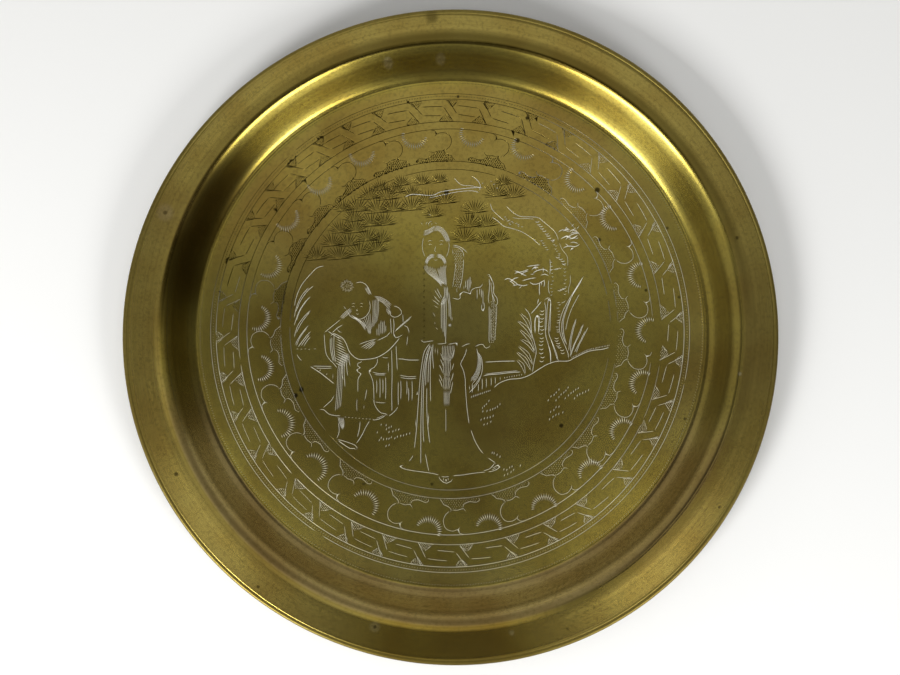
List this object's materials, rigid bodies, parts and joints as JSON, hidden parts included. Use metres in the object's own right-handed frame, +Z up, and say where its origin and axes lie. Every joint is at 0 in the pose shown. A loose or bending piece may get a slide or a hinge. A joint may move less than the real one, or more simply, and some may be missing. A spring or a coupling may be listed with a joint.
{
  "type": "round brass tray",
  "caption": "Round serving tray of spun sheet brass with a sunk well, an ogee wall, a flat flange and an edge rolled round a wire.",
  "frame": {"origin": "under the middle of the rim, on the surface that the tray stands on", "axes": "+Z up out of the well, +Y towards the head of the engraved side"},
  "size_m": [0.33, 0.33, 0.017],
  "materials": {
    "aged_brass": "aged, softly polished brass with turning marks and engraved lines",
    "steel_wire": "plain drawn wire"
  },
  "bodies": {
    "root": {"tray_pan": "aged_brass", "rim_wire": "steel_wire"}
  },
  "joints": []
}
